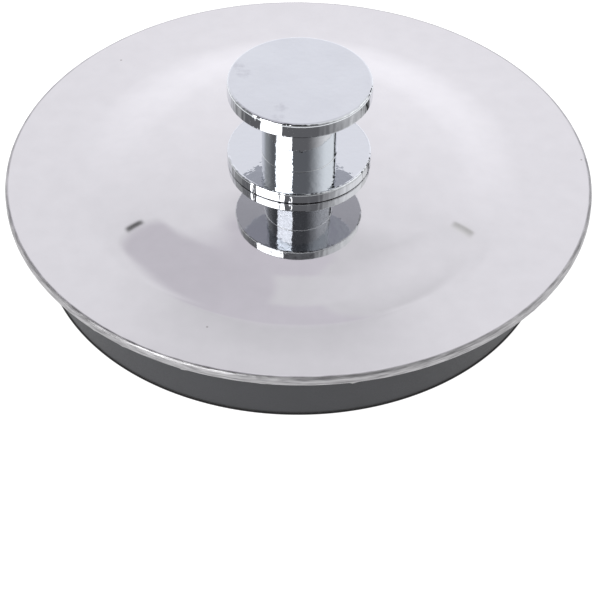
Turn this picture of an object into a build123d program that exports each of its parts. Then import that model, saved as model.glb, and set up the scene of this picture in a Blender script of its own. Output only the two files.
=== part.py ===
from build123d import *
from math import ceil, floor, sqrt, tan, radians
import os

# A drain stopper for a kitchen sink: a round mirror-polished cover plate with a low domed pad,
# a spool-shaped chrome knob on top of it, and a moulded rubber plug below it.
# One screw comes up through the plug and the plate into the knob and clamps the stack.
# Millimetres, +Z up along the axis, origin on the axis in the plane that the rubber's foot stands on.

# Cover plate, pressed from 18 gauge stainless sheet
plate_radius = 42.5
sheet_thickness = 1.27
pad_radius = 22.0
pad_rise = 2.7
dome_radius = 220.0
ring_width = 10.5
plate_top_round = 0.35
plate_bottom_break = 0.12
plate_hole_clearance = 0.1

# Rubber plug, a moulded cup with its mouth down
plug_depth = 11.13
plug_radius = 37.0
plug_land_height = 7.0
plug_shoulder_radius = 38.0
skirt_thickness = 2.8
skirt_draft = 0.5
plug_foot_round = 0.25
plug_mouth_break = 0.5
plug_inner_round = 1.5
plug_hole_clearance = 0.05
clamp_rim_width = 1.6
clamp_rim_height = 0.6

# Knob, turned in one piece
flange_radius = 10.4
flange_thickness = 1.5
neck_radius = 5.4
neck_length = 10.05
neck_round = 0.12
head_radius = 10.3
head_thickness = 2.35
flange_edge_round = 0.3
head_foot_round = 0.3
head_top_round = 0.45
knob_seat_gap = 0.05
thread_entry = 0.4
drill_tip_angle = 118.0
tip_clearance = 1.2

# Seal ring, flat rubber in a recess under the knob
seal_recess_radius = 6.5
seal_recess_depth = 0.8
seal_side_gap = 0.1
seal_edge_round = 0.1

# Screw, M5 pan head with a cross recess
major_radius = 2.5
thread_pitch = 0.8
thread_depth = 0.49
thread_gap = 0.06
screw_length = 16.0
screw_point_length = 0.6
screw_head_radius = 4.75
screw_head_height = 3.7
screw_head_round = 1.6
screw_head_clearance = 1.1
cross_span = 4.9
cross_slot_width = 1.3
cross_bottom_span = 1.9
cross_bottom_width = 0.9
cross_depth = 2.6

# Washers between the screw's head and the plug
spring_washer_radius = 4.6
spring_washer_thickness = 1.2
spring_washer_gap = 0.8
spring_washer_slant = 20.0
plain_washer_radius = 5.0
plain_washer_thickness = 1.0
washer_hole_clearance = 0.15
washer_break = 0.12
disc_radius = 16.0
disc_thickness = 1.2
disc_round = 0.35

# How far a cutting shape runs past what it cuts
overrun = 1.0

# Heights, worked up from the plane that the foot stands on
under_head = screw_head_clearance + screw_head_height
spring_washer_top = under_head + spring_washer_thickness
plain_washer_top = spring_washer_top + plain_washer_thickness
cup_depth = plain_washer_top + disc_thickness
rim_underside = plug_depth
rim_top = rim_underside + sheet_thickness
pad_top = rim_top + pad_rise
ring_outer_radius = pad_radius + ring_width
screw_tip = under_head + screw_length


def dome_height(radius):
    """Height of the pad's upper face: a sphere of dome_radius whose top is pad_top, on the axis."""
    return pad_top - dome_radius + sqrt(dome_radius**2 - radius**2)


# The knob stands on the dome on the edge of its seal recess, so its flat base is a hair clear further out
flange_bottom = dome_height(seal_recess_radius) + knob_seat_gap
flange_top = flange_bottom + flange_thickness
head_bottom = flange_top + neck_length
head_top = head_bottom + head_thickness
recess_ceiling = flange_bottom + seal_recess_depth


def turned(lines, corners=()):
    """The solid that a closed outline of (radius, height) lines makes when it turns about Z.

    The corners listed as ((radius, height), round) are rounded first. A point along a straight line
    divides the face that the line sweeps, as on the rim's underside.
    """
    face = make_face(lines)
    for place, size in corners:
        nearest = min(face.vertices(), key=lambda v: (v.center() - Vector(*place)).length)
        face = fillet(nearest, size)
    return revolve(Plane.XZ * face, Axis.Z, clean=False)


def turned_polygon(points, corners=()):
    """A turned solid whose outline has only straight lines between its rounded corners."""
    return turned(Polyline(*points, close=True), corners)


def washer(inner, outer, low, high, edge):
    """A flat ring between two heights, with its two outer edges rounded."""
    points = [(inner, low), (outer, low), (outer, high), (inner, high)]
    return turned_polygon(points, [((outer, low), edge), ((outer, high), edge)])


def pressed_line(start_radius, drop):
    """The plate's pressed form from start_radius out to the flat rim, lowered by drop.

    It is the dome's arc out to pad_radius, then one smooth S curve down to the level of the rim.
    """
    start = (start_radius, dome_height(start_radius) - drop)
    halfway = (start_radius + pad_radius) / 2
    middle = (halfway, dome_height(halfway) - drop)
    edge = (pad_radius, dome_height(pad_radius) - drop)
    foot = (ring_outer_radius, rim_top - drop)
    slope = pad_radius / sqrt(dome_radius**2 - pad_radius**2)
    dome = ThreePointArc(start, middle, edge)
    ring = Spline(edge, foot, tangents=[(1, -slope), (1, 0)])
    return [dome, ring]


def thread_line(low, high, shift):
    """Points up the thread's side between two heights: a flat crest and a sharp root for every turn.

    The rings of the screw and of the knob's hole lie at the same heights; shift moves them outwards.
    """
    crest_half = thread_pitch / 16
    crest_radius = major_radius + shift
    root_radius = crest_radius - thread_depth
    first = ceil((low - under_head) / thread_pitch + 1 / 8)
    last = floor((high - under_head) / thread_pitch - 5 / 8)
    points = []
    for turn in range(first, last + 1):
        crest = under_head + turn * thread_pitch
        points.append((crest_radius, crest - crest_half))
        points.append((crest_radius, crest + crest_half))
        points.append((root_radius, crest + thread_pitch / 2))
    return points


def make_cover_plate():
    """Flat rim, S-shaped ring and low domed pad in one sheet, with the screw's hole in the middle.

    The rim's underside is divided where the rubber ends, so the free rim is a face of its own.
    """
    hole = major_radius + plate_hole_clearance
    top = pressed_line(hole, 0)
    bottom = pressed_line(hole, sheet_thickness)
    rim_edge = Polyline(
        (ring_outer_radius, rim_top),
        (plate_radius - plate_top_round, rim_top),
    )
    rounding = RadiusArc(
        (plate_radius - plate_top_round, rim_top),
        (plate_radius, rim_top - plate_top_round),
        plate_top_round,
    )
    side = Polyline(
        (plate_radius, rim_top - plate_top_round),
        (plate_radius, rim_underside + plate_bottom_break),
        (plate_radius - plate_bottom_break, rim_underside),
        (plug_shoulder_radius, rim_underside),
        (ring_outer_radius, rim_underside),
    )
    bore = Line(top[0] @ 0, bottom[0] @ 0)
    return turned([*top, rim_edge, rounding, side, *bottom, bore])


def make_rubber_stopper():
    """Rubber plug: its top fills the plate's pressed form, its skirt seals in the drain's throat."""
    hole = major_radius + plug_hole_clearance
    skirt_inner = plug_radius - skirt_thickness
    skirt_root = skirt_inner - skirt_draft
    clamp_rim_inner = disc_radius + clamp_rim_height
    clamp_rim_outer = clamp_rim_inner + clamp_rim_width
    top = pressed_line(hole, sheet_thickness)
    points = [
        (ring_outer_radius, rim_underside),
        (plug_shoulder_radius, rim_underside),
        (plug_radius, plug_land_height),
        (plug_radius, 0),
        (skirt_inner + plug_mouth_break, 0),
        (skirt_inner, plug_mouth_break),
        (skirt_root, cup_depth),
        (clamp_rim_outer, cup_depth),
        (clamp_rim_outer, cup_depth - clamp_rim_height),
        (clamp_rim_inner, cup_depth - clamp_rim_height),
        (clamp_rim_inner, cup_depth),
        (hole, cup_depth),
        top[0] @ 0,
    ]
    sides = [Line(a, b) for a, b in zip(points, points[1:])]
    corners = [
        ((plug_radius, 0), plug_foot_round),
        ((skirt_root, cup_depth), plug_inner_round),
    ]
    return turned([*top, *sides], corners)


def make_knob():
    """Spool of base flange, neck and head, with a seal recess and a blind threaded hole from below."""
    thread_radius = major_radius + thread_gap
    hole_end = screw_tip + tip_clearance
    drill_tip = hole_end + (thread_radius - thread_depth) / tan(radians(drill_tip_angle / 2))
    thread_low = recess_ceiling + thread_entry
    outline = [
        (seal_recess_radius, flange_bottom),
        (flange_radius, flange_bottom),
        (flange_radius, flange_top),
        (neck_radius, flange_top),
        (neck_radius, head_bottom),
        (head_radius, head_bottom),
        (head_radius, head_top),
        (0, head_top),
        (0, drill_tip),
        (thread_radius - thread_depth, hole_end),
        *reversed(thread_line(thread_low, hole_end, thread_gap)),
        (thread_radius, thread_low - thread_entry / 2),
        (thread_radius + thread_entry / 2, recess_ceiling),
        (seal_recess_radius, recess_ceiling),
    ]
    corners = [
        ((flange_radius, flange_bottom), flange_edge_round),
        ((flange_radius, flange_top), flange_edge_round),
        ((neck_radius, flange_top), neck_round),
        ((neck_radius, head_bottom), neck_round),
        ((head_radius, head_bottom), head_foot_round),
        ((head_radius, head_top), head_top_round),
    ]
    return turned_polygon(outline, corners)


def make_knob_seal():
    """Flat rubber ring in the knob's recess, pressed on the plate round the screw's hole."""
    inner = major_radius + plate_hole_clearance
    outer = seal_recess_radius - seal_side_gap
    return washer(inner, outer, pad_top, recess_ceiling, seal_edge_round)


def make_retaining_disc():
    """Large stainless disc that spreads the screw's pull over the rubber."""
    inner = major_radius + washer_hole_clearance
    return washer(inner, disc_radius, plain_washer_top, cup_depth, disc_round)


def make_plain_washer():
    """Plain washer that the spring washer bears on."""
    inner = major_radius + washer_hole_clearance
    return washer(inner, plain_washer_radius, spring_washer_top, plain_washer_top, washer_break)


def make_spring_washer():
    """Split spring washer, shown pressed flat, with its slanting gap to one side."""
    inner = major_radius + washer_hole_clearance
    ring = washer(inner, spring_washer_radius, under_head, spring_washer_top, washer_break)
    reach = spring_washer_radius + overrun
    height = spring_washer_thickness + overrun
    middle = under_head + spring_washer_thickness / 2
    cutter = Box(reach, spring_washer_gap, height + spring_washer_thickness)
    cutter = Rot(X=spring_washer_slant) * Pos(X=reach / 2) * cutter
    return ring - Pos(Z=middle) * cutter


def make_screw():
    """Pan-head screw, head down, its shank ringed by the thread and its head cut by a cross recess."""
    shank_low = under_head + thread_pitch
    point_low = screw_tip - screw_point_length
    outline = [
        (0, screw_head_clearance),
        (screw_head_radius, screw_head_clearance),
        (screw_head_radius, under_head),
        (major_radius, under_head),
        *thread_line(shank_low, point_low, 0),
        (major_radius - thread_depth, screw_tip),
        (0, screw_tip),
    ]
    corners = [((screw_head_radius, screw_head_clearance), screw_head_round)]
    body = turned_polygon(outline, corners)
    mouth = Plane.XY.offset(screw_head_clearance)
    floor_plane = Plane.XY.offset(screw_head_clearance + cross_depth)
    wide = mouth * Rectangle(cross_span, cross_slot_width)
    narrow = floor_plane * Rectangle(cross_bottom_span, cross_bottom_width)
    arm = loft([wide, narrow])
    return body - arm - Rot(Z=90) * arm


pieces = {
    "cover_plate": make_cover_plate,
    "rubber_stopper": make_rubber_stopper,
    "knob": make_knob,
    "knob_seal": make_knob_seal,
    "retaining_disc": make_retaining_disc,
    "plain_washer": make_plain_washer,
    "spring_washer": make_spring_washer,
    "screw": make_screw,
}

os.makedirs("parts", exist_ok=True)
for name, make in pieces.items():
    export_step(make(), f"parts/{name}.step")
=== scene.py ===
# %% [markdown]
# Drain stopper for a kitchen sink
#
# A drain stopper is a lid and a cork in one. A round stainless cover plate hides the drain, a chrome knob is
# the handle, and a rubber plug under the plate seals the throat. This notebook dresses the imported CAD model:
# it builds each visible piece as a smooth surface of revolution, gives every piece the finish of the real
# metal or rubber, and sets it in a small light tent in front of a camera.

# %% Load the fixed frame
from math import asin, atan2, cos, degrees, radians, sin, sqrt

import bpy
import numpy as np
from mathutils import Matrix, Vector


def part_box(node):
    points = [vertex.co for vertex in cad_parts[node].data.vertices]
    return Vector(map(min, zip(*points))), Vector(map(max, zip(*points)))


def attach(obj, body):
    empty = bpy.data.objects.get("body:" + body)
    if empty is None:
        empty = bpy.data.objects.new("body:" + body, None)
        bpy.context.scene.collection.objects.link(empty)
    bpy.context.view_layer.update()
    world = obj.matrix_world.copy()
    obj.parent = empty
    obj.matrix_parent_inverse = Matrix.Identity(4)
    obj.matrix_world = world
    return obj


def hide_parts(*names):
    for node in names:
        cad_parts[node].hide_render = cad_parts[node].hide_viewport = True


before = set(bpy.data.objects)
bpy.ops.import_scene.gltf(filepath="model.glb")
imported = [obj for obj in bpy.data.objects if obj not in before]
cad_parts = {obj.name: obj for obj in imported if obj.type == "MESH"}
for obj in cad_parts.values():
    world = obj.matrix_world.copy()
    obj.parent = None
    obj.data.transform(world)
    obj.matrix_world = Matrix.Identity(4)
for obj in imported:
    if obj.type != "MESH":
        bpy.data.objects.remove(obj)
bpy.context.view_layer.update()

MM = 0.001
scene = bpy.context.scene

# %% [markdown]
# Sizes
#
# The frame gives each piece's box, so the main sizes are read from it. What a box can't tell, such as the
# thickness of the sheet or the place where the dome ends, is named here once and used by every cell below.

# %% Sizes from the frame, and the few that a box can't give
plate_low, plate_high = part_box("cover_plate")
plug_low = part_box("rubber_stopper")[0]
knob_low, knob_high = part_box("knob")
disc_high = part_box("retaining_disc")[1]

plate_radius = plate_high.x
sheet = 1.27 * MM
rim_underside = plate_low.z
rim_top = rim_underside + sheet
pad_radius = 22.0 * MM
pad_rise = 2.7 * MM
pad_top = rim_top + pad_rise
dome_radius = 220.0 * MM
ring_outer = 32.5 * MM
run_out = 40.0 * MM
run_out_rise = 0.11 * MM
screw_hole = 2.6 * MM
print("rim top at", round(rim_top / MM, 2), "mm, pad top at", round(pad_top / MM, 2), "mm")

# %% [markdown]
# The camera
#
# The round edges in the picture are ellipses, and their widths, heights and spacing say where the camera
# stood: about 40 degrees above the horizon, some 30 cm away, with a long lens. The camera is turned a little
# so that the middle of the rim falls on its own pixel, and rolled by under a degree. Turning it, rather than
# shifting the lens, keeps the object centred if the camera goes round it.

# %% Camera
PICTURE = 600
camera_distance = 304.8 * MM
camera_elevation = radians(39.695)
camera_roll = radians(-0.784)
focal_pixels = 2091.9
aim_pixel = (298.86, 170.73)


def camera_axes():
    """Right, up and forward axes of the camera, as rows, in the frame of the object.

    They start as the axes that look straight at the target. The small yaw and pitch are the angles between
    the picture's middle and the target's pixel, and the roll turns the picture about the line of sight.
    """
    back = np.array([0, -cos(camera_elevation), sin(camera_elevation)])
    right = np.array([1.0, 0, 0])
    forward = -back
    level = np.stack([right, np.cross(right, forward), forward])
    line = np.array([aim_pixel[0] - PICTURE / 2, PICTURE / 2 - aim_pixel[1], focal_pixels])
    line = line / np.linalg.norm(line)
    yaw, pitch = atan2(line[0], line[2]), asin(line[1])
    turn_yaw = Matrix.Rotation(yaw, 3, "Y")
    turn_pitch = Matrix.Rotation(-pitch, 3, "X")
    turn_roll = Matrix.Rotation(camera_roll, 3, "Z")
    return np.array(turn_yaw @ turn_pitch @ turn_roll) @ level, back


axes, back = camera_axes()
camera_data = bpy.data.cameras.new("camera")
camera = bpy.data.objects.new("camera", camera_data)
scene.collection.objects.link(camera)
rotation = Matrix(np.stack([axes[0], axes[1], -axes[2]], 1).tolist()).to_4x4()
place = np.array([0, 0, rim_top]) + back * camera_distance
camera.matrix_world = Matrix.Translation(place.tolist()) @ rotation
camera_data.lens = focal_pixels / PICTURE * camera_data.sensor_width
camera_data.clip_start = camera_distance / 100
scene.camera = camera
print("lens", round(camera_data.lens, 1), "mm, camera at", [round(v / MM) for v in place], "mm")

# %% [markdown]
# A surface of revolution
#
# Every piece here was turned on a lathe, pressed or moulded round, so every piece is one outline carried
# round the axis. Blender has a Screw modifier for this, but a grid worked out in numpy gives each ring of
# points its exact place, which mirror-bright metal needs: a ripple of a hundredth of a millimetre would
# already bend the reflections. An outline is a list of corners in radius and height, each with its own small
# rounding, because no real edge is a perfect corner and the rounding is what catches the light.

# %% Outline with rounded corners
ROUND_STEPS = 8
GUARD = 0.03 * MM
SHARP = 0.01 * MM


def eased(corners):
    """Outline points of straight lines joined by arcs, from rows of (radius, height, rounding).

    At a corner the lines meet at an angle 2a. The arc of size s touches both lines s / tan a from the
    corner, and its centre is s / sin a along the bisector. A guard point just past each end of an arc keeps
    the flat beside it flat when the mesh is shaded smooth. The points come as one group for each corner.
    """
    table = np.asarray(corners, float)
    point, size = table[:, :2], table[:, 2:]
    to_last = np.roll(point, 1, 0) - point
    to_next = np.roll(point, -1, 0) - point
    to_last = to_last / np.linalg.norm(to_last, axis=1, keepdims=True)
    to_next = to_next / np.linalg.norm(to_next, axis=1, keepdims=True)
    half = np.arccos(np.clip((to_last * to_next).sum(1, keepdims=True), -1, 1)) / 2
    bisector = to_last + to_next
    bisector = bisector / np.linalg.norm(bisector, axis=1, keepdims=True)
    reach = size / np.tan(half)
    centre = point + bisector * size / np.sin(half)
    start, end = point + to_last * reach, point + to_next * reach
    sweep = (np.pi - 2 * half)[:, None, :]
    share = np.linspace(0, 1, ROUND_STEPS + 1)[None, :, None]
    from_start = (start - centre)[:, None, :] * np.sin((1 - share) * sweep)
    from_end = (end - centre)[:, None, :] * np.sin(share * sweep)
    arc = centre[:, None, :] + (from_start + from_end) / np.sin(sweep)
    before = (start + to_last * GUARD)[:, None, :]
    after = (end + to_next * GUARD)[:, None, :]
    return np.concatenate([before, arc, after], 1)


# %% Lathe
def lathe(name, outline, turns):
    """A closed skin from an outline of (radius, height) carried round Z in equal steps.

    The point at angle u and outline position v is (r(v) cos u, r(v) sin u, z(v)). Where both ends of the
    outline lie on the axis, each becomes one pole with a fan of triangles round it. Otherwise the outline is
    a loop, and its last point joins its first.
    """
    outline = np.asarray(outline, float)
    has_poles = outline[0, 0] == 0 and outline[-1, 0] == 0
    body = outline[1:-1] if has_poles else outline
    angle = np.linspace(0, 2 * np.pi, turns, endpoint=False)
    radius, height = body[:, 0][:, None], body[:, 1][:, None]
    grid = np.stack([radius * np.cos(angle), radius * np.sin(angle), height + 0 * angle], -1)
    points = grid.reshape(-1, 3)
    rows = len(body)
    step = np.arange(rows - 1 if has_poles else rows)[:, None]
    around = np.arange(turns)[None, :]
    here, above = step * turns, (step + 1) % rows * turns
    right = (around + 1) % turns
    quads = np.stack([here + around, here + right, above + right, above + around], -1).reshape(-1, 4)
    faces = quads.tolist()
    if has_poles:
        first, last = len(points), len(points) + 1
        points = np.concatenate([points, [[0, 0, outline[0, 1]], [0, 0, outline[-1, 1]]]])
        around, right = around[0], right[0]
        top_row = (rows - 1) * turns
        faces += np.stack([right, around, np.full(turns, first)], -1).tolist()
        faces += np.stack([top_row + around, top_row + right, np.full(turns, last)], -1).tolist()
    mesh = bpy.data.meshes.new(name)
    mesh.from_pydata(points.tolist(), [], faces)
    mesh.shade_smooth()
    piece = bpy.data.objects.new(name, mesh)
    scene.collection.objects.link(piece)
    print(name, len(mesh.vertices), "vertices,", len(mesh.polygons), "faces")
    return piece


def reshape(piece, change):
    """Moves all points of a piece at once: change turns rows of (x, y, z) into their new places."""
    places = np.empty(len(piece.data.vertices) * 3)
    piece.data.vertices.foreach_get("co", places)
    places = change(places.reshape(-1, 3))
    piece.data.vertices.foreach_set("co", places.ravel())
    piece.data.update()


# %% [markdown]
# The cover plate
#
# The real plate is one disc of stainless sheet, blanked and pressed in a single stroke, then buffed. Its
# middle is a low dome, its rim is flat, and the pressed ring between them is one smooth S. The whole form is
# in the mesh, because flat sheet with a bump pattern couldn't bend a reflection like this: a sphere's arc
# for the dome and one cubic for the ring, the same curves that the die was cut to.


# %% Dome and pressed ring
def dome_height(radius):
    """Height of the pad's upper face: a sphere of dome_radius whose top is at pad_top on the axis."""
    return pad_top - dome_radius + np.sqrt(dome_radius**2 - radius**2)


def pressed_line(dome_points, ring_points, run_points=0):
    """Upper face from the screw's hole outwards: the dome, one Hermite cubic down the ring, and the run-out.

    The cubic leaves the dome along its slope and arrives along the run-out's slope, and both of its tangents
    are as long as the chord between its ends. The run-out is what the sheet does beside a press's ring: it
    comes level slowly, as a parabola that falls by run_out_rise from ring_outer to run_out.
    """
    radius = np.linspace(screw_hole, pad_radius, dome_points)
    dome = np.stack([radius, dome_height(radius)], 1)
    edge, foot = dome[-1], np.array([ring_outer, rim_top + run_out_rise])
    chord = np.linalg.norm(foot - edge)
    slope = pad_radius / sqrt(dome_radius**2 - pad_radius**2)
    foot_slope = 2 * run_out_rise / (run_out - ring_outer)
    leave = chord * np.array([1, -slope]) / sqrt(1 + slope**2)
    arrive = chord * np.array([1, -foot_slope]) / sqrt(1 + foot_slope**2)
    t = np.linspace(0, 1, ring_points + 1)[1:, None]
    ring = (2 * t**3 - 3 * t**2 + 1) * edge + (t**3 - 2 * t**2 + t) * leave
    ring = ring + (3 * t**2 - 2 * t**3) * foot + (t**3 - t**2) * arrive
    t = np.linspace(0, 1, run_points + 1)[1:]
    level = np.stack([ring_outer + t * (run_out - ring_outer), rim_top + run_out_rise * (1 - t) ** 2], 1)
    return np.concatenate([dome, ring, level])


# %% [markdown]
# The rim's sheared edge
#
# A blanking die leaves a soft roll-over on top, a torn wall below it and, at the foot of the wall, a burr
# here and there. The burrs are a few tenths of a millimetre, just large enough to sparkle, so they are real
# bumps on the mesh's lowest rings rather than a pattern in the material.

# %% Plate skin with its burrs
PLATE_TURNS = 640
plate_top_round = 0.5 * MM
plate_bottom_break = 0.12 * MM
burr_width = 0.35 * MM
BURRS = {-129.9: 0.10, -123.1: 0.16, -110.6: 0.22, -96.0: 0.08, -79.7: 0.2, -40.4: 0.12, -36.6: 0.15}


def burred(places):
    """Pulls the foot of the rim's wall down at each burr, by its size times a bell curve along the rim.

    BURRS gives each burr's size in millimetres at its angle in degrees. The curve is exp(-(s / w)^2), where
    s is the distance along the rim and w is burr_width.
    """
    angle = np.arctan2(places[:, 1], places[:, 0])[:, None]
    radius = np.hypot(places[:, 0], places[:, 1])
    near_edge = radius > plate_radius - 3 * plate_bottom_break
    at_foot = near_edge & (places[:, 2] < rim_underside + plate_bottom_break)
    along = (angle - np.radians(list(BURRS))) * plate_radius / burr_width
    drop = (np.exp(-along**2) * list(BURRS.values())).sum(1) * MM * at_foot
    return places - drop[:, None] * np.array([0, 0, 1])


rim_corners = [
    (run_out, rim_top, SHARP),
    (plate_radius, rim_top, plate_top_round),
    (plate_radius, rim_underside, plate_bottom_break),
    (run_out, rim_underside, SHARP),
]
rim_line = eased(rim_corners)[1:-1].reshape(-1, 2)
upper_face = pressed_line(dome_points=46, ring_points=42, run_points=12)
lower_face = (pressed_line(dome_points=14, ring_points=14, run_points=4) - [0, sheet])[::-1]
plate_skin = lathe("plate_skin", np.concatenate([upper_face, rim_line, lower_face])[::-1], PLATE_TURNS)
reshape(plate_skin, burred)
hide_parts("cover_plate")
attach(plate_skin, "plug")

# %% [markdown]
# The knob
#
# The knob was turned from one bar on a lathe: a flat head, a straight neck and a thinner base flange, like a
# cotton reel. The head's upper edge has the largest rounding, because fingers touch it. The base is faced
# slightly hollow, so that its rim comes close to the domed pad and leaves only a thin dark line. The outline
# starts and ends on the axis, so the lathe closes it with two poles. The blind hole for the screw stays in
# the CAD node, where nobody can see it.

# %% Knob skin
SKIN_TURNS = 360
flange_radius = knob_high.x
flange_thickness = 1.5 * MM
flange_round = 0.3 * MM
seat_round = 0.15 * MM
seat_drop = 0.1 * MM
neck_radius = 5.4 * MM
neck_round = 0.12 * MM
head_radius = 10.3 * MM
head_thickness = 2.35 * MM
head_foot_round = 0.3 * MM
head_top_round = 0.45 * MM
flange_top = knob_low.z + flange_thickness
head_bottom = knob_high.z - head_thickness

knob_corners = [
    (0, knob_low.z, SHARP),
    (flange_radius, knob_low.z - seat_drop, seat_round),
    (flange_radius, flange_top, flange_round),
    (neck_radius, flange_top, neck_round),
    (neck_radius, head_bottom, neck_round),
    (head_radius, head_bottom, head_foot_round),
    (head_radius, knob_high.z, head_top_round),
    (0, knob_high.z, SHARP),
]
knob_line = eased(knob_corners)[1:-1].reshape(-1, 2)
knob_line = np.concatenate([[[0, knob_low.z]], knob_line, [[0, knob_high.z]]])
knob_skin = lathe("knob_skin", knob_line, SKIN_TURNS)
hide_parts("knob")
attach(knob_skin, "knob")

# %% [markdown]
# The rubber plug
#
# The plug is a moulded cup, mouth down. Its outside is a straight land that seals in the drain and a shoulder
# that flares to the plate, and its top fills the plate's pressed form. Rubber never comes out of a mould
# quite true: seen from the front, the foot of this skirt sits a little to one side, so the mesh is sheared
# sideways, from nothing at the plate to the full amount at the foot.

# %% Plug skin
plug_radius = 37.0 * MM
land_height = 7.0 * MM
shoulder_radius = 38.0 * MM
skirt_inner = 34.2 * MM
skirt_root = 33.7 * MM
root_round = 1.5 * MM
mouth_break = 0.5 * MM
foot_round = 0.25 * MM
shoulder_round = 0.5 * MM
moulded_round = 0.1 * MM
cup_ceiling = disc_high.z
clamp_rim_inner = 16.6 * MM
clamp_rim_outer = 18.2 * MM
clamp_rim_foot = cup_ceiling - 0.6 * MM
plate_gap = 0.02 * MM
foot_shift = 0.4 * MM

plug_corners = [
    (screw_hole, cup_ceiling, moulded_round),
    (clamp_rim_inner, cup_ceiling, moulded_round),
    (clamp_rim_inner, clamp_rim_foot, moulded_round),
    (clamp_rim_outer, clamp_rim_foot, moulded_round),
    (clamp_rim_outer, cup_ceiling, moulded_round),
    (skirt_root, cup_ceiling, root_round),
    (skirt_inner, mouth_break, moulded_round),
    (skirt_inner + mouth_break, plug_low.z, moulded_round),
    (plug_radius, plug_low.z, foot_round),
    (plug_radius, land_height, shoulder_round),
    (shoulder_radius, rim_underside - plate_gap, moulded_round),
    (ring_outer, rim_underside - plate_gap, moulded_round),
]


def leaning_skirt(places):
    """Shifts each point towards -X by foot_shift times its depth below the rim, as a share of the whole."""
    depth = np.clip(1 - places[:, 2] / rim_underside, 0, 1)
    return places - depth[:, None] * np.array([foot_shift, 0, 0])


plug_line = eased(plug_corners)[:-1].reshape(-1, 2)
plug_top = (pressed_line(dome_points=24, ring_points=24) - [0, sheet + plate_gap])[::-1]
plug_skin = lathe("plug_skin", np.concatenate([plug_line, plug_top]), SKIN_TURNS)
reshape(plug_skin, leaning_skirt)
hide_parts("rubber_stopper")
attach(plug_skin, "plug")

# %% [markdown]
# Tools for the materials
#
# A material is a small network of nodes. One function adds any node, sets what it is given and returns the
# output that the next node reads. Colours are written as sRGB hex values, as a colour picker shows them, and
# one function turns them into the linear light that the shaders work in. Patterns are made of noise whose
# features have a real size, so each can be set from what a loupe shows on the metal or rubber.


# %% Node and colour tools
def node(tree, kind, inputs=None, output=0, **settings):
    """Adds one node, sets or links its inputs by name or number, and returns one of its outputs."""
    made = tree.nodes.new("ShaderNode" + kind)
    for key, value in settings.items():
        setattr(made, key, value)
    for key, value in (inputs or {}).items():
        if isinstance(value, bpy.types.NodeSocket):
            tree.links.new(value, made.inputs[key])
        else:
            made.inputs[key].default_value = value
    return made.outputs[output]


def linear(hex_colour):
    """Linear RGBA from an sRGB hex colour such as #D3D2D3."""
    value = np.array([int(hex_colour[i:i + 2], 16) for i in (1, 3, 5)]) / 255
    value = np.where(value <= 0.04045, value / 12.92, ((value + 0.055) / 1.055) ** 2.4)
    return (*value.tolist(), 1.0)


def start_material(name, uniform):
    """A new material whose shader has the given uniform values: its node tree, its shader and its place."""
    material = bpy.data.materials.new(name)
    material.use_nodes = True
    tree = material.node_tree
    shader = tree.nodes["Principled BSDF"]
    for socket, value in uniform.items():
        shader.inputs[socket].default_value = value
    return material, tree, shader, node(tree, "TexCoord", output="Object")


def finish_material(tree, shader, colour, roughness, normal):
    """Links the three patterns that every finish here has."""
    tree.links.new(colour, shader.inputs["Base Color"])
    tree.links.new(roughness, shader.inputs["Roughness"])
    tree.links.new(normal, shader.inputs["Normal"])


# %% Pattern tools
NOISE_LOW, NOISE_HIGH = 0.3, 0.7


def grain(tree, place, size, low=0.0, high=1.0, detail=2.0, stretch=(1, 1, 1)):
    """Noise whose features are about one size across, spread over the values from low to high.

    Blender's noise keeps mostly between NOISE_LOW and NOISE_HIGH, so that range is the one spread out. Along
    an axis whose stretch is over 1 the features are that many times as long.
    """
    scale = tuple(1 / (size * s) for s in stretch)
    vector = node(tree, "Mapping", {"Vector": place, "Scale": scale})
    noise = node(tree, "TexNoise", {"Vector": vector, "Scale": 1.0, "Detail": detail})
    return node(tree, "MapRange", {0: noise, 1: NOISE_LOW, 2: NOISE_HIGH, 3: low, 4: high})


def spots(tree, place, centres, size):
    """A mask that is 1 in soft round spots of one radius, around centres given in millimetres."""
    mask = 0.0
    for centre in centres:
        centre = tuple(v * MM for v in centre)
        away = node(tree, "VectorMath", {0: place, 1: centre}, "Value", operation="DISTANCE")
        spot = node(tree, "MapRange", {0: away, 1: size, 2: size / 3})
        mask = node(tree, "Math", {0: mask, 1: spot}, operation="MAXIMUM")
    return mask


def from_axis(tree, place):
    """Distance from the Z axis."""
    flat = node(tree, "VectorMath", {0: place, 1: (1, 1, 0)}, operation="MULTIPLY")
    return node(tree, "VectorMath", {0: flat}, "Value", operation="LENGTH")


# %% [markdown]
# Mirror-polished stainless
#
# The plate is stainless sheet, buffed with finer and finer paste until it mirrors the room. What is left to
# see is a faint waviness that the press leaves, a few pits, and wipe marks that dull the mirror by a trace.
# The sheared edge was never buffed, so there the same steel is grey and soft, with fine streaks along the
# rim. A mask on the distance from the axis divides the two.

# %% Material of the plate
polished, tree, shader, place = start_material("mirror_polished_stainless", {"Metallic": 1.0})
axis_distance = from_axis(tree, place)
# The grey starts just inside the roll-over and is whole before the wall.
edge_start = plate_radius - 1.1 * plate_top_round
edge_full = plate_radius - 0.7 * plate_top_round
is_edge = node(tree, "MapRange", {0: axis_distance, 1: edge_start, 2: edge_full})

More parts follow.
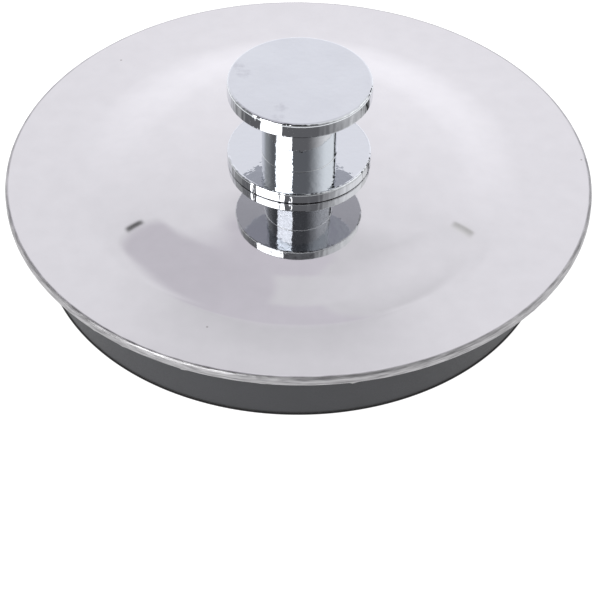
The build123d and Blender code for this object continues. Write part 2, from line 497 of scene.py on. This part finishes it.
pit_radius = 0.22 * MM
pad_mid, rim = pad_top / MM - 0.5, rim_top / MM
pit_places = [(41.4, 3.4, rim), (-27.7, 26.1, rim), (-11.1, -14.4, pad_mid), (-12, -33, rim)]
pits = spots(tree, place, pit_places, pit_radius)
wear = grain(tree, place, 3 * MM)
buffed = node(tree, "Mix", {0: wear, 6: linear("#D2D1D2"), 7: linear("#D5D4D5")}, 2, data_type="RGBA")
buffed = node(tree, "Mix", {0: pits, 6: buffed, 7: linear("#A9A7A6")}, 2, data_type="RGBA")
streaks = grain(tree, place, 0.18 * MM, stretch=(14, 14, 1))
sheared = node(tree, "Mix", {0: streaks, 6: linear("#828183"), 7: linear("#B8B7B9")}, 2, data_type="RGBA")
colour = node(tree, "Mix", {0: is_edge, 6: buffed, 7: sheared}, 2, data_type="RGBA")

wiped = grain(tree, place, 14 * MM, 0.022, 0.045, detail=3.0)
torn = grain(tree, place, 0.25 * MM, 0.36, 0.52, stretch=(18, 18, 1))
roughness = node(tree, "Mix", {0: is_edge, 2: wiped, 3: torn})

wave_depth, tear_depth = 0.001 * MM, 0.02 * MM
press_waves = grain(tree, place, 9 * MM, detail=1.0)
normal = node(tree, "Bump", {"Height": press_waves, "Distance": wave_depth})
tears = node(tree, "Math", {0: streaks, 1: is_edge}, operation="MULTIPLY")
normal = node(tree, "Bump", {"Height": tears, "Distance": tear_depth, "Normal": normal})
finish_material(tree, shader, colour, roughness, normal)
plate_skin.data.materials.append(polished)

# %% [markdown]
# Bright chrome over turned brass
#
# Decorative chrome is a thin bluish mirror plated on polished brass. It shows whatever the lathe left under
# it: very fine rings, a shallow orange peel, and chatter across the narrow bands, which breaks their
# reflections into upright slivers. On the head's flat top, fingers and hard water leave faint dull marks.

# %% Material of the knob
chrome, tree, shader, place = start_material("bright_chrome_plate", {"Metallic": 1.0})
axis_distance = from_axis(tree, place)
height = node(tree, "SeparateXYZ", {0: place}, "Z")
band_start, band_full = head_radius - 0.3 * MM, head_radius - 0.1 * MM
top_start, top_full = knob_high.z - 0.06 * MM, knob_high.z - 0.02 * MM
is_band = node(tree, "MapRange", {0: axis_distance, 1: band_start, 2: band_full})
is_top = node(tree, "MapRange", {0: height, 1: top_start, 2: top_full})

smudge_radius = 1.5 * MM
top = knob_high.z / MM
marks = [(-8.9, 3, top), (-7.9, 1.2, top), (-3.2, -8.6, top), (-2.6, -6.4, top)]
smudges = spots(tree, place, marks, smudge_radius)
smudges = node(tree, "Math", {0: smudges, 1: grain(tree, place, 0.9 * MM, detail=3.0)}, operation="MULTIPLY")
film = grain(tree, place, 4 * MM, 0.0, 0.25, detail=3.0)
dulled = node(tree, "Math", {0: smudges, 1: film}, operation="MAXIMUM")
dulled = node(tree, "Math", {0: dulled, 1: is_top}, operation="MULTIPLY")
colour = node(tree, "Mix", {0: dulled, 6: linear("#CED1D5"), 7: linear("#BDBFC4")}, 2, data_type="RGBA")
roughness = node(tree, "MapRange", {0: dulled, 3: 0.02, 4: 0.14})

ring_depth, peel_depth, chatter_depth = 0.0004 * MM, 0.007 * MM, 0.07 * MM
rings = grain(tree, place, 0.3 * MM, stretch=(30, 30, 1))
normal = node(tree, "Bump", {"Height": rings, "Distance": ring_depth})
orange_peel = grain(tree, place, 0.9 * MM)
normal = node(tree, "Bump", {"Height": orange_peel, "Distance": peel_depth, "Normal": normal})
chatter = grain(tree, place, 1.1 * MM, detail=1.0, stretch=(1, 1, 6))
chatter = node(tree, "Math", {0: chatter, 1: is_band}, operation="MULTIPLY")
normal = node(tree, "Bump", {"Height": chatter, "Distance": chatter_depth, "Normal": normal})
finish_material(tree, shader, colour, roughness, normal)
knob_skin.data.materials.append(chrome)

# %% [markdown]
# Moulded rubber
#
# The plug is dark grey nitrile rubber, pressed in a steel mould. The mould was grit blasted, so the rubber
# is matt, with a grain of about a quarter millimetre, and the surface has a faint cloudy bloom. The lowest
# half millimetre of the skirt is painted near black: painted shade where the foot meets the table. A little
# sheen gives the dusty brightening that rubber has where it turns away from the eye.

# %% Material of the plug
rubber_look = {"Specular IOR Level": 0.5, "IOR": 1.52, "Sheen Weight": 0.15, "Sheen Roughness": 0.4}
rubber, tree, shader, place = start_material("moulded_grey_rubber", rubber_look)
height = node(tree, "SeparateXYZ", {0: place}, "Z")
bloom = grain(tree, place, 6 * MM, detail=3.0)
blasted = grain(tree, place, 0.25 * MM)
# Painted shade: the skirt's lowest half millimetre is painted near black, for the shade where the foot meets
# the table.
foot_shade_start, foot_shade_full = 0.55 * MM, 0.3 * MM
painted_foot_shade = node(tree, "MapRange", {0: height, 1: foot_shade_start, 2: foot_shade_full})
colour = node(tree, "Mix", {0: bloom, 6: linear("#25262A"), 7: linear("#2A2B30")}, 2, data_type="RGBA")
speckled = node(tree, "Math", {0: blasted, 1: 0.5}, operation="MULTIPLY")
colour = node(tree, "Mix", {0: speckled, 6: colour, 7: linear("#343538")}, 2, data_type="RGBA")
colour = node(tree, "Mix", {0: painted_foot_shade, 6: colour, 7: linear("#0C0C0D")}, 2, data_type="RGBA")
roughness = node(tree, "MapRange", {0: blasted, 3: 0.5, 4: 0.66})
blast_depth = 0.005 * MM
normal = node(tree, "Bump", {"Height": blasted, "Distance": blast_depth})
finish_material(tree, shader, colour, roughness, normal)
plug_skin.data.materials.append(rubber)

# %% [markdown]
# Hidden fittings
#
# The rest only shows from below, inside the rubber cup, and stays as the CAD made it. The clamping disc and
# the flat washer were stamped from sheet that still has the mill's rolling lines, all in one direction. The
# screw and its spring washer were formed from wire and tumbled, so their grey is mottled. The seal ring is
# cut from flat black rubber with a dusting of talc. The three materials differ only in their pattern's size
# and stretch and in their colours, so one function makes them.


# %% Materials of the fittings
def fitting_material(name, uniform, size, stretch, dark, pale, smooth, rough, depth):
    """A finish of one grain: from dark and smooth to pale and rough, with relief of the given depth."""
    material, tree, shader, place = start_material(name, uniform)
    marks = grain(tree, place, size, detail=3.0, stretch=stretch)
    clouds = grain(tree, place, 5 * MM, detail=3.0)
    shade = node(tree, "Mix", {0: marks, 2: clouds, 3: marks})
    colour = node(tree, "Mix", {0: shade, 6: linear(dark), 7: linear(pale)}, 2, data_type="RGBA")
    roughness = node(tree, "MapRange", {0: marks, 3: smooth, 4: rough})
    normal = node(tree, "Bump", {"Height": marks, "Distance": depth})
    finish_material(tree, shader, colour, roughness, normal)
    return material


metal = {"Metallic": 1.0}
soft = {"IOR": 1.52, "Sheen Weight": 0.1}
line_width, line_stretch = 0.12 * MM, (60, 1, 1)
dent_size, dust_size = 0.5 * MM, 0.6 * MM
even = (1, 1, 1)
stamped = fitting_material(
    "stamped_stainless_sheet", metal, line_width, line_stretch, "#B9B8B9", "#CAC9CA", 0.22, 0.34, 0.001 * MM
)
tumbled = fitting_material(
    "tumbled_fastener_steel", metal, dent_size, even, "#B0B0B2", "#C4C4C6", 0.24, 0.38, 0.004 * MM
)
talced = fitting_material(
    "cut_black_rubber", soft, dust_size, even, "#1E1E1F", "#39393A", 0.5, 0.75, 0.004 * MM
)
fitting_materials = {
    "retaining_disc": stamped,
    "plain_washer": stamped,
    "spring_washer": tumbled,
    "screw": tumbled,
    "knob_seal": talced,
}
for name, material in fitting_materials.items():
    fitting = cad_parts[name]
    fitting.data.materials.clear()
    fitting.data.materials.append(material)
print("fittings:", {name: material.name for name, material in fitting_materials.items()})

# %% [markdown]
# The table
#
# Small chrome hardware is often photographed on a light table: a sheet of opal acrylic, lit from below, so
# that the object hardly throws a shadow and the ground goes white. The table here is a wide thin disc with a
# pale diffuse surface that also glows a little. A thin ring right beside the rubber's foot is painted dark, in
# both its colour and its glow: a painted contact shadow.

# %% Light table
TABLE_TURNS = 96
table_radius = 1500 * MM
table_thickness = 1 * MM
table_outline = [(0, -table_thickness), (table_radius, -table_thickness), (table_radius, 0), (0, 0)]
table = lathe("light_table", table_outline, TABLE_TURNS)
painted_shadow_full, painted_shadow_end = 0.12 * MM, 0.22 * MM
glow = {"Emission Strength": 0.9}
acrylic, tree, shader, place = start_material("opal_acrylic", glow)
# Heights count many times over, so the painted shadow line is on the table's upper face and not on its lower
# one.
height_weight = 100
upper_face_only = {0: place, 1: (1, 1, height_weight), 2: (foot_shift, 0, 0)}
from_foot = node(tree, "VectorMath", upper_face_only, operation="MULTIPLY_ADD")
away = node(tree, "VectorMath", {0: from_foot}, "Value", operation="LENGTH")
# Painted shadow: the table's colour and glow are painted near black in a thin ring just outside the rubber's
# foot.
clear_of_painted_shadow = node(tree, "MapRange", {0: away, 1: plug_radius + painted_shadow_full, 2: plug_radius + painted_shadow_end})
clouds = grain(tree, place, 120 * MM)
colour = node(tree, "Mix", {0: clouds, 6: linear("#9C9C9D"), 7: linear("#A2A2A2")}, 2, data_type="RGBA")
colour = node(tree, "Mix", {0: clear_of_painted_shadow, 6: linear("#1C1C1D"), 7: colour}, 2, data_type="RGBA")
glow_and_painted_shadow = node(tree, "Mix", {0: clear_of_painted_shadow, 6: linear("#1C1C1D"), 7: linear("#FFFFFF")}, 2, data_type="RGBA")
tree.links.new(glow_and_painted_shadow, shader.inputs["Emission Color"])
roughness = node(tree, "MapRange", {0: clouds, 3: 0.5, 4: 0.55})
normal = node(tree, "Bump", {"Height": clouds, "Distance": 0.01 * MM})
finish_material(tree, shader, colour, roughness, normal)
table.data.materials.append(acrylic)

# %% [markdown]
# The light tent
#
# A mirror shows its surroundings and nothing else, so the lighting is built as surroundings: the world's
# colour is worked out for each direction, as if the object stood in a tent of pale cloth with a bright soft
# box at the left and a dark opening overhead. Directions are given as an azimuth, which is 0 straight away
# from the camera and grows to the right, and an elevation above the horizon, both in degrees.
#
# Each panel of the tent is a mask times a light. A mask is a product of edges, and each edge is a smooth
# step along one coordinate: from its first value, where the panel ends, to its second, where it is whole.
# The coordinates are the azimuth, the elevation, an azimuth that leans as it rises, and two more for the
# soft box, whose left side bows out and whose right side slants. Later panels hang in front of earlier ones.

# %% Coordinates of a direction
lean_level = 40.0
lean_rate = 0.64
box_level = 38.0
bow_rate = -0.45
slant_rate = -0.55

world = bpy.data.worlds.new("light_tent")
scene.world = world
world.use_nodes = True
tree = world.node_tree
direction = node(tree, "TexCoord", output="Generated")
part = node(tree, "SeparateXYZ", {0: direction}).node.outputs
turned = node(tree, "Math", {0: part["X"], 1: part["Y"]}, operation="ARCTAN2")
raised = node(tree, "Math", {0: part["Z"]}, operation="ARCSINE")
azimuth = node(tree, "Math", {0: turned, 1: degrees(1)}, operation="MULTIPLY")
elevation = node(tree, "Math", {0: raised, 1: degrees(1)}, operation="MULTIPLY")
above = node(tree, "Math", {0: elevation, 1: lean_level}, operation="SUBTRACT")
from_box = node(tree, "Math", {0: elevation, 1: box_level}, operation="SUBTRACT")
beyond = node(tree, "Math", {0: from_box}, operation="ABSOLUTE")
coordinates = {
    "azimuth": azimuth,
    "elevation": elevation,
    "leaning": node(tree, "Math", {0: above, 1: lean_rate, 2: azimuth}, operation="MULTIPLY_ADD"),
    "bowed": node(tree, "Math", {0: beyond, 1: bow_rate, 2: azimuth}, operation="MULTIPLY_ADD"),
    "slanted": node(tree, "Math", {0: from_box, 1: slant_rate, 2: azimuth}, operation="MULTIPLY_ADD"),
}


# %% One panel of the tent
def hang(light, strength, edges, fades=(), tint=(1, 1, 1)):
    """Mixes one panel over the light so far, and returns the new light.

    Each edge is (coordinate, where the panel ends, where it is whole). Each fade is (coordinate, from, to,
    factor at the first, factor at the second) and scales the panel's strength in a straight line between.
    """
    mask = 1.0
    for along, ends, whole in edges:
        edge = {0: coordinates[along], 1: ends, 2: whole, 4: mask}
        mask = node(tree, "MapRange", edge, interpolation_type="SMOOTHSTEP")
    colour = node(tree, "VectorMath", {0: tint, "Scale": strength}, operation="SCALE")
    for along, start, end, low, high in fades:
        factor = node(tree, "MapRange", {0: coordinates[along], 1: start, 2: end, 3: low, 4: high})
        colour = node(tree, "VectorMath", {0: colour, "Scale": factor}, operation="SCALE")
    return node(tree, "Mix", {0: mask, 6: light, 7: colour}, 2, data_type="RGBA")


# %% Panels
cool_white = (1.01, 1.0, 1.055)
violet_grey = (1.035, 1.0, 1.095)
PANELS = {
    "low front": (0.5, [("elevation", 14, 4)]),
    "dark opening overhead": (0.03, [("elevation", 50, 60)]),
    "left wall": (
        0.7,
        [("azimuth", -96, -60), ("azimuth", 1, -1), ("elevation", 54, 44)],
        [("elevation", 14, 38, 1.2, 0.78)],
    ),
    "right wall": (
        1.0,
        [("leaning", 38, 42), ("azimuth", 158, 84), ("elevation", 60, 50)],
        [("elevation", 15, 36, 0.88, 1.6), ("elevation", 37, 46, 1.0, 0.9), ("leaning", 46, 53, 0.66, 1.0)],
    ),
    "ceiling right": (1.02, [("azimuth", 29, 39), ("azimuth", 150, 100), ("elevation", 46, 54)]),
    "right corner": (
        1.02,
        [("azimuth", 18, 24), ("azimuth", 46, 40), ("elevation", 40, 42), ("elevation", 60, 52)],
    ),
    "ceiling": (
        1.0,
        [("azimuth", -50, -38), ("azimuth", 36, 33), ("elevation", 46.5, 47.5), ("elevation", 84, 76)],
        [("azimuth", 8, 24, 0.862, 1.02)],
        cool_white,
    ),
    "left half of the ceiling": (
        1.0,
        [("azimuth", -50, -38), ("azimuth", 6, 3.5), ("elevation", 46.5, 47.3), ("elevation", 84, 76)],
        [("azimuth", -16, 2, 0.742, 0.79)],
        violet_grey,
    ),
    "window in the ceiling": (
        1.0,
        [("azimuth", -7, -4), ("azimuth", 40, 30), ("elevation", 59.5, 61.8), ("elevation", 84, 76)],
        [("azimuth", 0, 14, 0.875, 0.94)],
        cool_white,
    ),
    "back wall": (
        1.015,
        [("azimuth", -63, -36), ("leaning", 31.5, 28), ("elevation", 48.3, 46.3)],
        [("azimuth", -25, 25, 0.965, 1.03), ("elevation", 18, 47, 1.285, 1.0)],
        cool_white,
    ),
    "glow over the wall, left": (
        1.0,
        [("azimuth", -21, -16), ("azimuth", -7, -10), ("elevation", 44, 45.5), ("elevation", 52.5, 46.8)],
        [],
        cool_white,
    ),
    "glow over the wall, right": (
        1.03,
        [("azimuth", 4, 8), ("azimuth", 26, 20), ("elevation", 44, 45.5), ("elevation", 51, 46.8)],
        [],
        cool_white,
    ),
    "shade in the middle": (
        1.0,
        [("azimuth", -10, -5), ("azimuth", 8, 2), ("elevation", 43, 44.8), ("elevation", 48, 46.8)],
        [("elevation", 44.8, 47, 0.93, 0.81)],
        cool_white,
    ),
    "left seam": (
        0.12,
        [
            ("azimuth", -60, -40),
            ("azimuth", -24.2, -25.2),
            ("elevation", 45.9, 46.4),
            ("elevation", 47.2, 46.7),
        ],
    ),
    "right seam": (
        0.66,
        [("azimuth", 23.6, 24.8), ("azimuth", 36, 32), ("elevation", 45.6, 45.9), ("elevation", 47.2, 46)],
    ),
    "slit": (0.03, [("leaning", 29.5, 31.5), ("leaning", 44, 41), ("elevation", 42, 41)]),
    "soft box": (
        4.5,
        [("bowed", -162.5, -159.5), ("slanted", -102, -109), ("elevation", 3, 9), ("elevation", 56, 51)],
    ),
}
tent_cloth = (0.24, 0.24, 0.25, 1)
light = node(tree, "RGB")
light.default_value = tent_cloth
for name, panel in PANELS.items():
    light = hang(light, *panel)
print("light tent of", len(PANELS), "panels,", len(tree.nodes), "nodes")

# %% Backdrop for the camera
tent = tree.nodes["Background"]
tree.links.new(light, tent.inputs["Color"])
backdrop = node(tree, "Background", {"Color": (1, 1, 1, 1)})
seen = node(tree, "LightPath", output="Is Camera Ray")
surface = node(tree, "MixShader", {0: seen, 1: tent.outputs[0], 2: backdrop})
tree.links.new(surface, tree.nodes["World Output"].inputs["Surface"])
scene.view_settings.view_transform = "Standard"
